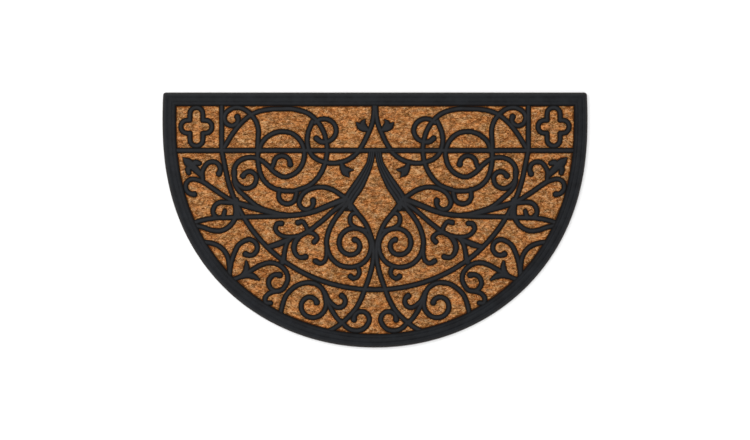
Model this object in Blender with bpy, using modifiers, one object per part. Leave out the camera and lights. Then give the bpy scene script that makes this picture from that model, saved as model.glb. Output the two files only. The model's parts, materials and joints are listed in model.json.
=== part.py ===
"""Half-round coir doormat: a moulded rubber tray and scrollwork around a coir panel.

Metres, +Z up. The mat lies flat. +X runs along its straight edge and +Y points to
that edge. The origin is on the underside, in the middle of the mat's box.
Sizes below are in millimetres. Each goes through MM where a shape is made.
"""
from collections import namedtuple
from math import atan2, ceil, cos, hypot, pi, radians, sin

import bmesh
import bpy
from mathutils import Vector
from mathutils.geometry import delaunay_2d_cdt

MM = 0.001

# Driving dimensions of the mat.
LENGTH = 750.0
WIDTH = 450.0
THICKNESS = 9.0
RIM = 23.5
BACKING = 2.0
FIT_GAP = 0.3

# The round side is half an oval, a little fuller than an ellipse, that hangs from a level
# a little below the straight edge. The mat is widest there.
WIDEST_Y = 178.0
ACROSS_POWER = 2.02
DOWN_POWER = 2.28
ROUND_HEIGHT = WIDTH / 2 + WIDEST_Y
CORNER_RADIUS = 5.0
RIM_CHAMFER = 3.5
CHAMFER_STEPS = 2

# The round side is walked in steps of its angle, in degrees, from above its widest level
# to the middle of the mat. Each of the two corners is walked in steps too.
ROUND_FROM = -7.5
ROUND_TO = 90.0
ROUND_STEP = 2.5
CORNER_STEPS = 4

# The scrollwork's bars lie on the coir, their tops just below the rim's.
BAR_WIDTH = 8.8
BAR_HEIGHT = 2.3
BAR_TOP = 8.6
BALL_WIDTH = 11.0
BALL_RUN = 9.0
SMALLEST_HOLE = 12.0

# A bar ends in a half round of this many sides, or of fewer where it tapers to a tip.
END_SIDES = 4
TIP_SIDES = 2
TIP_HALF_WIDTH = 3.0

# A curl's spiral has this many knots a turn.
KNOTS_A_TURN = 12

# How far a straight piece may stray from its curve, on a bar's centre line and at its edge.
LINE_WITHIN = 0.2
EDGE_WITHIN = 0.4

# Points closer than this are one point, and faces that turn less than this, in degrees,
# are one face. A cutter reaches this far past the surface that it opens.
WELD = 0.001
FLAT_WITHIN = 0.5
CUT_PAST = 3.0

Curl = namedtuple("Curl", "eye turns end_radius")
Bar = namedtuple("Bar", "name path curl widths", defaults=(None, (BAR_WIDTH, BAR_WIDTH)))

HOOK = (BAR_WIDTH, 8.0, 8.0, 10.0)
LEAF = (8.0, 11.0, 11.0, 5.0)


def oval(centre, radii, first, last, step=30):
    """Knots along an oval, from one angle in degrees to another."""
    count = max(2, round(abs(last - first) / step))
    angles = [radians(first + (last - first) * i / count) for i in range(count + 1)]
    return [(centre[0] + radii[0] * cos(a), centre[1] + radii[1] * sin(a)) for a in angles]


def round_side(inset, first, last, count):
    """Points along the mat's round side, moved in by inset, from angle to angle."""
    points = []
    for i in range(count + 1):
        angle = radians(first + (last - first) * i / count)
        across = abs(cos(angle)) ** (2 / ACROSS_POWER)
        down = abs(sin(angle)) ** (2 / DOWN_POWER)
        side = 1 if cos(angle) >= 0 else -1
        drop = 1 if sin(angle) >= 0 else -1
        x = side * (LENGTH / 2 - inset) * across
        y = WIDEST_Y - drop * (ROUND_HEIGHT - inset) * down
        points.append((x, y))
    return points


# The bars on the +X half, in millimetres. A bar runs through the knots of its path and
# then turns in around its curl's eye. Its widths are spread evenly along it.
FRAME_BARS = [
    Bar("rail", path=[(-10, 122.7), (356, 122.7)]),
    Bar("post", path=[(270.5, 206), (270.5, 122.7)]),
    Bar("inner arch", path=[(270.5, 122.7)] + round_side(102, 20, 90, 10) + [(-10, -122)]),
]
RING_BARS = [
    Bar("great ring", path=oval((146.5, 124.5), (62, 73.5), -95, -180)
        + oval((146.5, 124.5), (62, 71.5), -210, -270)
        + [(165, 196), (183, 195.5), (203, 192), (219, 185), (236, 171), (252, 151), (266, 128)]),
    Bar("ring side", path=[(144, 51), (166, 52), (184, 59), (196, 70), (202.5, 83), (206, 100),
                           (207, 120), (206.3, 142), (205.5, 158), (210, 174), (220, 188)]),
    Bar("corner scroll", path=[(217, 185), (231, 195.5), (246, 198.5), (260, 192)],
        curl=Curl(eye=(251, 178.5), turns=-0.72, end_radius=9)),
    Bar("inner ring", path=[(204, 121), (201, 133), (193, 144), (180, 152.5), (165, 156)]
        + oval((161, 116), (36.5, 40), 115, 270) + [(177, 84), (190, 97), (204, 107),
                                                   (221, 110.5), (238, 105), (247, 94),
                                                   (249, 81), (243.5, 64.5), (228, 55.5),
                                                   (214, 61), (209, 73)],
        curl=Curl(eye=(222, 73), turns=-0.43, end_radius=11.7)),
    Bar("eye scroll", path=[(182, 92), (179, 99)],
        curl=Curl(eye=(163.5, 98.5), turns=0.5, end_radius=14)),
    Bar("loop", path=oval((90, 158), (21.5, 20.5), 42, 285) + [(103.5, 144)],
        widths=(BAR_WIDTH, BAR_WIDTH, BAR_WIDTH, BAR_WIDTH, 10.5)),
    Bar("sweep", path=[(247.5, 86), (247.5, 66), (240.5, 52.5), (231, 43.5), (221, 34.5),
                       (211, 26.5), (201, 20.5), (186, 15.5), (160, 8)]),
    Bar("cup", path=[(168.5, 54), (169.5, 40), (164.5, 31.5), (153.5, 28.5), (143, 33.5),
                     (138, 48)]),
]
CENTRE_BARS = [
    Bar("swan neck", path=[(110, 174), (118.5, 152), (118, 128), (108, 111), (89, 102),
                           (68, 100.5), (48, 106), (32, 118), (20.5, 135), (11, 155),
                           (5, 170), (2.2, 186), (1, 206)]),
    Bar("trunk", path=[(5.3, 120.6), (6.8, 111), (9.3, 100), (18.6, 80), (30, 60), (43, 41),
                       (51, 24)], widths=(12, 12, 16.4, 20.6, 21, 18)),
    Bar("upper branch", path=[(50, 38), (60, 44), (74, 53), (92, 58), (112, 55.5), (126, 47.5),
                              (132.5, 37)],
        curl=Curl(eye=(120.8, 31), turns=-0.62, end_radius=12.3)),
    Bar("long branch", path=[(50, 37), (66, 31.5), (84, 24.5), (105, 16), (130, 10),
                             (165, 7), (205, 6), (250, 4.5), (282, 3.5), (303, 0), (326, -7)],
        widths=(11, BAR_WIDTH, BAR_WIDTH)),
    Bar("short branch", path=[(54, 30), (72, 17), (94, -2), (118, -21)]),
    Bar("great scroll", path=[(47, 33), (58, 18), (70.5, 2), (80.5, -17), (85.5, -40),
                              (79.5, -63), (64, -78.5), (43, -83.3), (22, -76.5), (9.5, -60)],
        curl=Curl(eye=(40, -43), turns=-1.255, end_radius=9.3)),
    Bar("centre stem", path=[(46, 32), (31, 12), (17, -6), (8.5, -25), (3.3, -43), (3.2, -70),
                             (8.6, -95), (16.5, -118), (25, -140), (36.5, -160), (57, -180.5),
                             (71, -190.5), (84, -197)]),
    Bar("fork web", path=[(45, 31), (43, 20)], widths=(12, 10)),
    Bar("teardrop", path=[(28, 9), (35, 12.3), (41.5, 9.5), (44.2, 1), (42, -7.5), (35, -13),
                          (24, -16.5), (14, -19)], widths=(8, 8)),
    Bar("outer hook", path=[(85, -50), (85.3, -62), (89, -72.5), (97, -76.5), (105, -72.5)],
        widths=HOOK),
    Bar("lower hook", path=[(31, -82), (27.5, -92), (31, -100.3), (38, -103), (43.5, -99.5)],
        widths=HOOK),
]
SIDE_BARS = [
    Bar("lens", path=[(326, -8), (303, -13), (288, -18), (271, -18.7), (256.5, -11), (247.5, 2),
                      (244, 18), (246, 34)], widths=(BAR_WIDTH, BAR_WIDTH, BAR_WIDTH, 14)),
    Bar("lens root", path=[(240, 5), (242.5, 22)]),
    Bar("lens scroll", path=[(246, 30), (266, 31.3)],
        curl=Curl(eye=(270, 15), turns=-0.4, end_radius=15)),
    Bar("lens eye", path=[(268, 4), (265, 16)], widths=(10, 8)),
    Bar("side scroll", path=[(148, 8), (175, 11), (200, 17.5), (225, 24.5), (250, 33),
                             (272, 46), (290, 58.5), (305, 68), (318, 72)],
        curl=Curl(eye=(320.5, 59.5), turns=-0.55, end_radius=14.3),
        widths=(BAR_WIDTH, 10, 11.5, BAR_WIDTH, BAR_WIDTH, BAR_WIDTH, BAR_WIDTH)),
    Bar("side hook", path=[(304, 70.5), (304.5, 85), (297, 98.5)],
        curl=Curl(eye=(286, 88.5), turns=0.473, end_radius=12.8)),
]
BAND_BARS = [
    Bar("rim leaf", path=[(312, -38.5), (302, -39), (288, -41), (273, -47.5), (261.5, -61),
                          (257, -80), (257.5, -104)]),
    Bar("rim scroll", path=[(257, -104), (254.5, -80), (248.8, -60), (239.5, -43), (224.5, -34.7)],
        curl=Curl(eye=(221.5, -49.5), turns=0.622, end_radius=12.5)),
    Bar("band scroll", path=[(262, -107.5), (243, -102.5), (228, -95), (214, -86.5),
                             (200, -79), (185.5, -75.2), (171, -78.5), (158, -89.5),
                             (153.7, -104), (160.5, -119.5)],
        curl=Curl(eye=(173, -110.3), turns=0.708, end_radius=14)),
    Bar("rim hook", path=[(172, -125), (185, -128.5), (193.5, -137), (192, -146), (184, -146.5)],
        widths=(BAR_WIDTH, BAR_WIDTH)),
    Bar("low spiral", path=[(167, -172), (165, -157), (156.5, -133), (140, -117), (123, -110.8),
                            (105, -112.5), (92, -123), (87, -140)],
        curl=Curl(eye=(112.3, -150), turns=0.99, end_radius=10.6)),
    Bar("low stem", path=[(86, -140), (80, -152), (75, -161), (68.5, -171), (59, -181.5)]),
    Bar("low hook", path=[(88.5, -128), (81, -143), (72, -151)],
        curl=Curl(eye=(63.5, -143), turns=-0.549, end_radius=10.6)),
    Bar("foot scroll", path=[(59, -179), (48, -190.5), (35, -195.3), (20, -191.8), (10.3, -178)],
        curl=Curl(eye=(25, -175), turns=-0.54, end_radius=12.3)),
]
LEAVES = [
    Bar("neck bud, outer lobe", path=[(12, 158.5), (20, 161.5), (26.5, 165.5), (32.5, 171.5)],
        widths=(7, 12, 13, 3)),
    Bar("neck bud, inner lobe", path=[(14, 160), (20.5, 165.5), (21, 171.5), (17.5, 177)],
        widths=(8, 13, 11, 2.5)),
    Bar("ring bud, outer lobe", path=[(57, 91), (50, 88.5), (38.5, 88.5)], widths=(10, 11, 2.5)),
    Bar("ring bud, inner lobe", path=[(59, 99), (56, 91), (52, 84), (46, 76.5)],
        widths=(8, 12, 14, 3)),
    Bar("lily, middle petal", path=[(305, 78), (312, 85), (321, 94), (328, 100), (333, 104.5),
                                    (338, 109.5)], widths=(10, 10, 12, 17, 15, 3)),
    Bar("lily, upper petal", path=[(322, 96), (316, 101), (310, 100)], widths=(9, 12, 9)),
    Bar("lily, lower petal", path=[(323, 94), (329.5, 90), (328.5, 83)], widths=(9, 11, 9)),
    Bar("spray leaf 1", path=[(118, -20), (121.5, -11), (128, -3), (136, -4.5)], widths=HOOK),
    Bar("spray leaf 2", path=[(118, -21), (107, -25), (102, -32), (107, -38.5)], widths=HOOK),
    Bar("spray scroll", path=[(116, -19), (131, -27), (150, -30), (166, -27), (175.5, -16.5),
                              (172.5, -7), (165, -6)], widths=(10, 8.5, 8, 8, 10)),
    Bar("spray leaf 3", path=[(129, -26), (139, -36), (143, -49), (139, -61), (131, -66.3),
                              (122, -64.8)], widths=(8, 10.5, 9.5, 8, 10)),
    Bar("spray stem", path=[(148, -31), (155, -40), (158.3, -50), (160, -60), (163, -74)],
        widths=(9, 8.5, 8.5, 12)),
    Bar("spray spur", path=[(150, -33), (171, -42.5), (190, -48)], widths=(9, 11.5, 9)),
    Bar("band leaf, upper", path=[(238, -101), (229, -93), (226.3, -84), (227, -73.5)],
        widths=LEAF),
    Bar("band leaf, lower", path=[(238, -101), (227, -97.5), (216, -98.7), (205, -105)],
        widths=LEAF),
]

# The quatrefoil: a cross whose four arms end in half rounds.
QUATREFOIL_CENTRE = (315, 164.5)
QUATREFOIL_ARMS = (16.0, 22.5)
QUATREFOIL_LOBE = 11.5
QUATREFOIL_LINE = 8.8


def quatrefoil_arm(turn, arm):
    """One arm of the cross: out along one side, round the end and back."""
    run = [(QUATREFOIL_LOBE, -QUATREFOIL_LOBE)]
    run += oval((arm, 0), (QUATREFOIL_LOBE, QUATREFOIL_LOBE), -90, 90)
    run += [(QUATREFOIL_LOBE, QUATREFOIL_LOBE)]
    c, s = cos(radians(turn)), sin(radians(turn))
    path = [(QUATREFOIL_CENTRE[0] + x * c - y * s, QUATREFOIL_CENTRE[1] + x * s + y * c)
            for x, y in run]
    return Bar("quatrefoil arm", path, widths=(QUATREFOIL_LINE, QUATREFOIL_LINE))


CORNER_BARS = [quatrefoil_arm(turn, QUATREFOIL_ARMS[turn // 90 % 2]) for turn in (0, 90, 180, 270)]
ALL_BARS = FRAME_BARS + CORNER_BARS + RING_BARS + CENTRE_BARS + SIDE_BARS + BAND_BARS + LEAVES


def curl_knots(start, curl):
    """Knots of the spiral that leads from the path's last knot in to the curl's end."""
    reach = hypot(start[0] - curl.eye[0], start[1] - curl.eye[1])
    angle = atan2(start[1] - curl.eye[1], start[0] - curl.eye[0])
    count = ceil(abs(curl.turns) * KNOTS_A_TURN)
    knots = []
    for i in range(1, count + 1):
        radius = reach + (curl.end_radius - reach) * i / count
        turned = angle + 2 * pi * curl.turns * i / count
        knots.append((curl.eye[0] + radius * cos(turned), curl.eye[1] + radius * sin(turned)))
    return knots


def between(a, b, share):
    """The point, or number list, at this share of the way from a to b."""
    return tuple(p + (q - p) * share for p, q in zip(a, b))


def smooth_line(knots, spacing=1.0):
    """Points along a smooth curve through all the knots."""
    if len(knots) == 2:
        return list(knots)
    before = between(knots[1], knots[0], 2)
    after = between(knots[-2], knots[-1], 2)
    guide = [before] + list(knots) + [after]
    line = []
    for p0, p1, p2, p3 in zip(guide, guide[1:], guide[2:], guide[3:]):
        t1 = hypot(p1[0] - p0[0], p1[1] - p0[1]) ** 0.5
        t2 = t1 + hypot(p2[0] - p1[0], p2[1] - p1[1]) ** 0.5
        t3 = t2 + hypot(p3[0] - p2[0], p3[1] - p2[1]) ** 0.5
        count = max(1, round((t2 - t1) ** 2 / spacing))
        for i in range(count):
            t = t1 + (t2 - t1) * i / count
            a1 = between(p0, p1, t / t1)
            a2 = between(p1, p2, (t - t1) / (t2 - t1))
            a3 = between(p2, p3, (t - t2) / (t3 - t2))
            b1 = between(a1, a2, t / t2)
            b2 = between(a2, a3, (t - t1) / (t3 - t1))
            line.append(between(b1, b2, (t - t1) / (t2 - t1)))
    line.append(knots[-1])
    return line


def thinned(line, tolerance):
    """The fewest of the line's points that keep it within the tolerance."""
    if len(line) < 3:
        return line
    (x0, y0), (x1, y1) = line[0][:2], line[-1][:2]
    run = hypot(x1 - x0, y1 - y0)
    worst, at = 0.0, 0
    for i in range(1, len(line) - 1):
        x, y = line[i][:2]
        off = abs((x1 - x0) * (y - y0) - (y1 - y0) * (x - x0)) / run if run else hypot(x - x0, y - y0)
        if off > worst:
            worst, at = off, i
    if worst <= tolerance:
        return [line[0], line[-1]]
    return thinned(line[:at + 1], tolerance)[:-1] + thinned(line[at:], tolerance)


def bar_line(bar):
    """The bar's centre line as (x, y, half width) rows, with a ball at a curl's end."""
    knots = list(bar.path)
    if bar.curl:
        knots += curl_knots(knots[-1], bar.curl)
    line = smooth_line(knots)
    lengths = [0.0]
    for a, b in zip(line, line[1:]):
        lengths.append(lengths[-1] + hypot(b[0] - a[0], b[1] - a[1]))
    rows = []
    for (x, y), along in zip(line, lengths):
        place = along / lengths[-1] * (len(bar.widths) - 1)
        step = min(int(place), len(bar.widths) - 2)
        width = bar.widths[step] + (bar.widths[step + 1] - bar.widths[step]) * (place - step)
        if bar.curl:
            near_end = max(0.0, 1 - (lengths[-1] - along) / BALL_RUN)
            width += (BALL_WIDTH - width) * near_end ** 2
        rows.append((x, y, width / 2))
    return thinned(rows, LINE_WITHIN)


def bar_outline(bar):
    """The bar's outline, anticlockwise: both sides of its centre line and two round ends."""
    rows = bar_line(bar)
    left, right = [], []
    for i, (x, y, half) in enumerate(rows):
        x0, y0 = rows[max(i - 1, 0)][:2]
        x1, y1 = rows[min(i + 1, len(rows) - 1)][:2]
        run = hypot(x1 - x0, y1 - y0)
        nx, ny = (y0 - y1) / run, (x1 - x0) / run
        left.append((x + nx * half, y + ny * half))
        right.append((x - nx * half, y - ny * half))

    def round_end(row, start):
        sides = END_SIDES if row[2] > TIP_HALF_WIDTH else TIP_SIDES
        angle = atan2(start[1] - row[1], start[0] - row[0])
        return [(row[0] + row[2] * cos(angle + pi * i / sides),
                 row[1] + row[2] * sin(angle + pi * i / sides)) for i in range(1, sides)]

    return right + round_end(rows[-1], right[-1]) + left[::-1] + round_end(rows[0], left[0])


def united(outlines):
    """The closed loops around the area that the outlines cover together."""
    points = [Vector(point) for outline in outlines for point in outline]
    faces = []
    for outline in outlines:
        first = faces[-1][-1] + 1 if faces else 0
        faces.append(list(range(first, first + len(outline))))
    corners, _, triangles, _, _, owners = delaunay_2d_cdt(points, [], faces, 1, WELD)
    covered = [triangle for triangle, owner in zip(triangles, owners) if owner]
    sides = [side for t in covered for side in zip(t, t[1:] + t[:1])]
    inner = {(b, a) for a, b in sides}
    onward = {corner: [] for side in sides for corner in side}
    for a, b in sides:
        if (a, b) not in inner:
            onward[a].append(b)
    return [loop for start in onward for loop in loops_from(start, onward, corners)]


def loops_from(start, onward, corners):
    """Follow the border from a corner, and yield each loop that it closes."""
    trail = [start]
    while onward[trail[-1]]:
        corner = onward[trail[-1]].pop()
        if corner not in trail:
            trail.append(corner)
            continue
        first = trail.index(corner)
        loop = [tuple(corners[i]) for i in trail[first:]]
        loop = thinned(loop + loop[:1], EDGE_WITHIN)[:-1]
        area = sum(a[0] * b[1] - b[0] * a[1] for a, b in zip(loop, loop[1:] + loop[:1])) / 2
        if abs(area) > SMALLEST_HOLE:
            yield loop
        del trail[first + 1:]


def mat_outline(inset, corner):
    """The half-round outline moved in by inset, with its two upper corners rounded."""
    top = WIDTH / 2 - inset
    steps = round((ROUND_TO - ROUND_FROM) / ROUND_STEP)
    side = [p for p in round_side(inset, ROUND_FROM, ROUND_TO, steps) if p[1] < top - corner]
    edge_x = side[0][0]
    half = []
    for i in range(CORNER_STEPS if corner else 1):
        angle = radians(90 - 90 * i / CORNER_STEPS)
        half.append((edge_x - corner + corner * cos(angle), top - corner + corner * sin(angle)))
    half += side
    return half + [(-x, y) for x, y in reversed(half[:-1])]


def collection(name):
    """A new collection in the scene."""
    made = bpy.data.collections.new(name)
    bpy.context.scene.collection.children.link(made)
    return made


def slab(name, outlines, bottom, top, group):
    """A mesh object: the area inside the outlines, between two heights."""
    curve = bpy.data.curves.new(name, "CURVE")
    curve.dimensions = "2D"
    curve.fill_mode = "BOTH"
    curve.extrude = (top - bottom) / 2 * MM
    for outline in outlines:
        spline = curve.splines.new("POLY")
        spline.points.add(len(outline) - 1)
        for point, (x, y) in zip(spline.points, outline):
            point.co = (x * MM, y * MM, 0, 1)
        spline.use_cyclic_u = True
    flat = bpy.data.objects.new(name, curve)
    group.objects.link(flat)
    bpy.context.view_layer.update()
    mesh = bpy.data.meshes.new_from_object(flat.evaluated_get(bpy.context.evaluated_depsgraph_get()))
    solid = bpy.data.objects.new(name, mesh)
    solid.matrix_world = flat.matrix_world.copy()
    bpy.data.objects.remove(flat)
    solid.name = name
    group.objects.link(solid)
    work = bmesh.new()
    work.from_mesh(mesh)
    bmesh.ops.remove_doubles(work, verts=work.verts, dist=WELD * MM)
    for vertex in work.verts:
        vertex.co.z = (top if vertex.co.z > 0 else bottom) * MM
    bmesh.ops.dissolve_limit(work, angle_limit=radians(FLAT_WITHIN), verts=work.verts,
                             edges=work.edges)
    bmesh.ops.recalc_face_normals(work, faces=work.faces)
    work.to_mesh(mesh)
    work.free()
    return solid


def as_cutter(thing):
    """Mark an object that only cuts or joins."""
    thing.hide_render = True
    thing.display_type = "WIRE"
    return thing


def plain_material(name, colour, roughness):
    """A Principled material of one colour."""
    material = bpy.data.materials.new(name)
    material.use_nodes = True
    shader = material.node_tree.nodes["Principled BSDF"]
    shader.inputs["Base Color"].default_value = (*colour, 1)
    shader.inputs["Roughness"].default_value = roughness
    shader.inputs["Metallic"].default_value = 0
    material.diffuse_color = (*colour, 1)
    return material


def rubber_moulding(group, tools):
    """The tray with its rim, and the scrollwork that spans it, moulded in one."""
    tray = slab("rubber_moulding", [mat_outline(0, CORNER_RADIUS)], 0, THICKNESS, group)

    work = bmesh.new()
    work.from_mesh(tray.data)
    weight = work.edges.layers.float.new("bevel_weight_edge")
    for edge in work.edges:
        if all(v.co.z > 0 for v in edge.verts):
            edge[weight] = 1
    work.to_mesh(tray.data)
    work.free()
    chamfer = tray.modifiers.new("sloping outer edge", "BEVEL")
    chamfer.limit_method = "WEIGHT"
    chamfer.width = RIM_CHAMFER * MM
    chamfer.segments = CHAMFER_STEPS

    above = THICKNESS + CUT_PAST
    pocket = as_cutter(slab("pocket", [mat_outline(RIM, 0)], BACKING, above, tools))
    hollow = tray.modifiers.new("pocket for the coir", "BOOLEAN")
    hollow.operation = "DIFFERENCE"
    hollow.solver = "EXACT"
    hollow.object = pocket

    outlines = [bar_outline(bar) for bar in ALL_BARS]
    outlines += [[(-x, y) for x, y in reversed(outline)] for outline in outlines]
    low = BAR_TOP - BAR_HEIGHT
    scrollwork = as_cutter(slab("scrollwork", united(outlines), low, BAR_TOP, tools))
    joined = tray.modifiers.new("scrollwork", "BOOLEAN")
    joined.operation = "UNION"
    joined.solver = "MANIFOLD"
    joined.object = scrollwork

    tray.data.materials.append(plain_material("black rubber", (0.022, 0.023, 0.025), 0.55))
    return tray


def coir_panel(group):
    """The flat coir panel that fills the tray, under the bars."""
    top = BAR_TOP - BAR_HEIGHT - FIT_GAP
    panel = slab("coir_panel", [mat_outline(RIM + FIT_GAP, 0)], BACKING + FIT_GAP, top, group)
    panel.data.materials.append(plain_material("golden coir", (0.31, 0.15, 0.06), 0.95))
    return panel


def build():
    """Clear the scene and build the mat."""
    for thing in list(bpy.data.objects):
        bpy.data.objects.remove(thing)
    doormat = collection("coir doormat")
    tools = collection("cutters")
    rubber_moulding(doormat, tools)
    coir_panel(doormat)


build()
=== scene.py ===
import json
from collections import namedtuple
from math import atan2, ceil, cos, hypot, pi, radians, sin

import bmesh
import bpy
import numpy as np
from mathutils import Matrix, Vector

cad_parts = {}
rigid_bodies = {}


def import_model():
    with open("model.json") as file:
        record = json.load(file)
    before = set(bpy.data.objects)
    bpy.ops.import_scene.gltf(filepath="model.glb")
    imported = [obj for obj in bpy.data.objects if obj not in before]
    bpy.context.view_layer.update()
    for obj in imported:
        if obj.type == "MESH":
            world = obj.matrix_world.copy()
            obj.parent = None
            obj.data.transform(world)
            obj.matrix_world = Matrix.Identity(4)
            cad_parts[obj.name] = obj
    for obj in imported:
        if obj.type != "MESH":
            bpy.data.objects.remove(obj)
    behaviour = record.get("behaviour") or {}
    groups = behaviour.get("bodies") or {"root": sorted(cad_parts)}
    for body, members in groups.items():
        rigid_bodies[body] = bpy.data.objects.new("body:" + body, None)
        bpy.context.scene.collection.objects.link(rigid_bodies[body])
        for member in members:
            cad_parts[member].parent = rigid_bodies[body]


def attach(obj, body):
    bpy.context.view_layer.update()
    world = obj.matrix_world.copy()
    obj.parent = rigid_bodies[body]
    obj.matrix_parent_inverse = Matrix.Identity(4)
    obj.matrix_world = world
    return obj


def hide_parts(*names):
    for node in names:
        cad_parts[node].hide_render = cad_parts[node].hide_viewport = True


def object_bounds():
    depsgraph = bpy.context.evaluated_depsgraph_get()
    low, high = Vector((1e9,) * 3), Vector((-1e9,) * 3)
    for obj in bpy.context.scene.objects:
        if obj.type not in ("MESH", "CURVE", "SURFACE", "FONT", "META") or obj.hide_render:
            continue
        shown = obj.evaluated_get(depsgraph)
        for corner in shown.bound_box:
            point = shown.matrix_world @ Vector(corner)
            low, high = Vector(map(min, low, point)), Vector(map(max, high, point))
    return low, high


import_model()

solid_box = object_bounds()

# The tray: one black rubber moulding, a broad raised rim around a shallow pocket.
# It is pressed in a heated mould. The mould's cutter leaves fine lines along the rim,
# and the rim's outer edge slopes so that nobody trips on it.
MM = 0.001
MAT_LENGTH = 750.0
MAT_WIDTH = 450.0
CORNER_RADIUS = 5.0
SMALLEST_CORNER = 0.15
WIDEST_Y = 178.0
ACROSS_POWER = 2.02
DOWN_POWER = 2.28
ROUND_HEIGHT = MAT_WIDTH / 2 + WIDEST_Y

# How many points the outline has along half the top, round a corner and down a side.
ACROSS_TOP = 24
ROUND_CORNER = 6
DOWN_SIDE = 150

# From the underside, out and up the edge, over the rim and down into the pocket: how far
# in from the mat's outline, and how high.
RIM_PROFILE = [
    (30.0, 0.0), (1.3, 0.0), (0.45, 0.25), (0.05, 0.9), (0.0, 2.4), (0.0, 5.1), (0.2, 5.8),
    (0.8, 6.65), (1.7, 7.45), (2.7, 8.1), (3.5, 8.5), (4.2, 8.72), (5.0, 8.85), (6.4, 8.9),
    (7.6, 8.9), (8.1, 8.62), (8.6, 8.62), (9.1, 8.93), (11.5, 9.0), (14.6, 9.0), (15.6, 8.98),
    (16.0, 8.72), (16.4, 8.72), (16.8, 8.98), (19.5, 9.0), (22.3, 9.0), (22.9, 8.9),
    (23.35, 8.55), (23.5, 8.0), (23.55, 5.0), (23.7, 2.4), (24.1, 2.0), (30.0, 2.0),
]


def mat_ring(inset):
    """The mat's half-round outline moved in by this much, clockwise from its top middle."""
    top = MAT_WIDTH / 2 - inset
    corner = max(CORNER_RADIUS - inset, SMALLEST_CORNER)
    half_length = MAT_LENGTH / 2 - inset
    height = ROUND_HEIGHT - inset
    start = -np.arcsin(((top - corner - WIDEST_Y) / height) ** (DOWN_POWER / 2))
    angle = np.linspace(start, pi / 2, DOWN_SIDE)
    side_x = half_length * np.abs(np.cos(angle)) ** (2 / ACROSS_POWER)
    side_y = WIDEST_Y - np.sign(angle) * height * np.abs(np.sin(angle)) ** (2 / DOWN_POWER)
    side_x[-1] = 0.0
    turn = np.linspace(pi / 2, 0, ROUND_CORNER)[:-1]
    corner_x = side_x[0] - corner + corner * np.cos(turn)
    corner_y = top - corner + corner * np.sin(turn)
    across = np.linspace(0, corner_x[0], ACROSS_TOP)[:-1]
    x = np.concatenate([across, corner_x, side_x])
    y = np.concatenate([np.full(len(across), top), corner_y, side_y])
    return np.column_stack([np.concatenate([x, -x[-2:0:-1]]), np.concatenate([y, y[-2:0:-1]])])


def finished_mesh(name, points, faces, finish, sharp_over=35):
    """A mesh object from points in millimetres, smooth but for its sharp edges."""
    mesh = bpy.data.meshes.new(name)
    mesh.from_pydata((np.asarray(points) * MM).tolist(), [], faces)
    work = bmesh.new()
    work.from_mesh(mesh)
    bmesh.ops.recalc_face_normals(work, faces=work.faces)
    for face in work.faces:
        face.smooth = True
    for edge in work.edges:
        edge.smooth = len(edge.link_faces) == 2 and edge.calc_face_angle(0) < radians(sharp_over)
    work.to_mesh(mesh)
    work.free()
    mesh.materials.append(finish)
    piece = bpy.data.objects.new(name, mesh)
    bpy.context.scene.collection.objects.link(piece)
    return piece


def new_finish(name):
    """An empty node material, and short ways to add and join its nodes."""
    material = bpy.data.materials.new(name)
    material.use_nodes = True
    tree = material.node_tree
    shader = tree.nodes["Principled BSDF"]

    def add(kind, **values):
        node = tree.nodes.new("ShaderNode" + kind)
        for key, value in values.items():
            if hasattr(node, key):
                setattr(node, key, value)
            else:
                node.inputs[key.replace("_", " ")].default_value = value
        return node

    def join(source, socket, target, entry):
        tree.links.new(source.outputs[socket], target.inputs[entry])

    return material, shader, add, join


def colour_steps(ramp, steps):
    """Set a colour ramp's stops: a place from 0 to 1 and a linear colour each."""
    stops = ramp.color_ramp.elements
    while len(stops) < len(steps):
        stops.new(0.5)
    for stop, (place, colour) in zip(stops, steps):
        stop.position = place
        stop.color = (*colour, 1)


def add_values(mesh, name, values):
    """Give each point of the mesh a number of its own, for the finish to read."""
    layer = mesh.attributes.new(name, "FLOAT", "POINT")
    layer.data.foreach_set("value", np.asarray(values, dtype=np.float32))


DUST_FADE = 1.2 * MM


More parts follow.
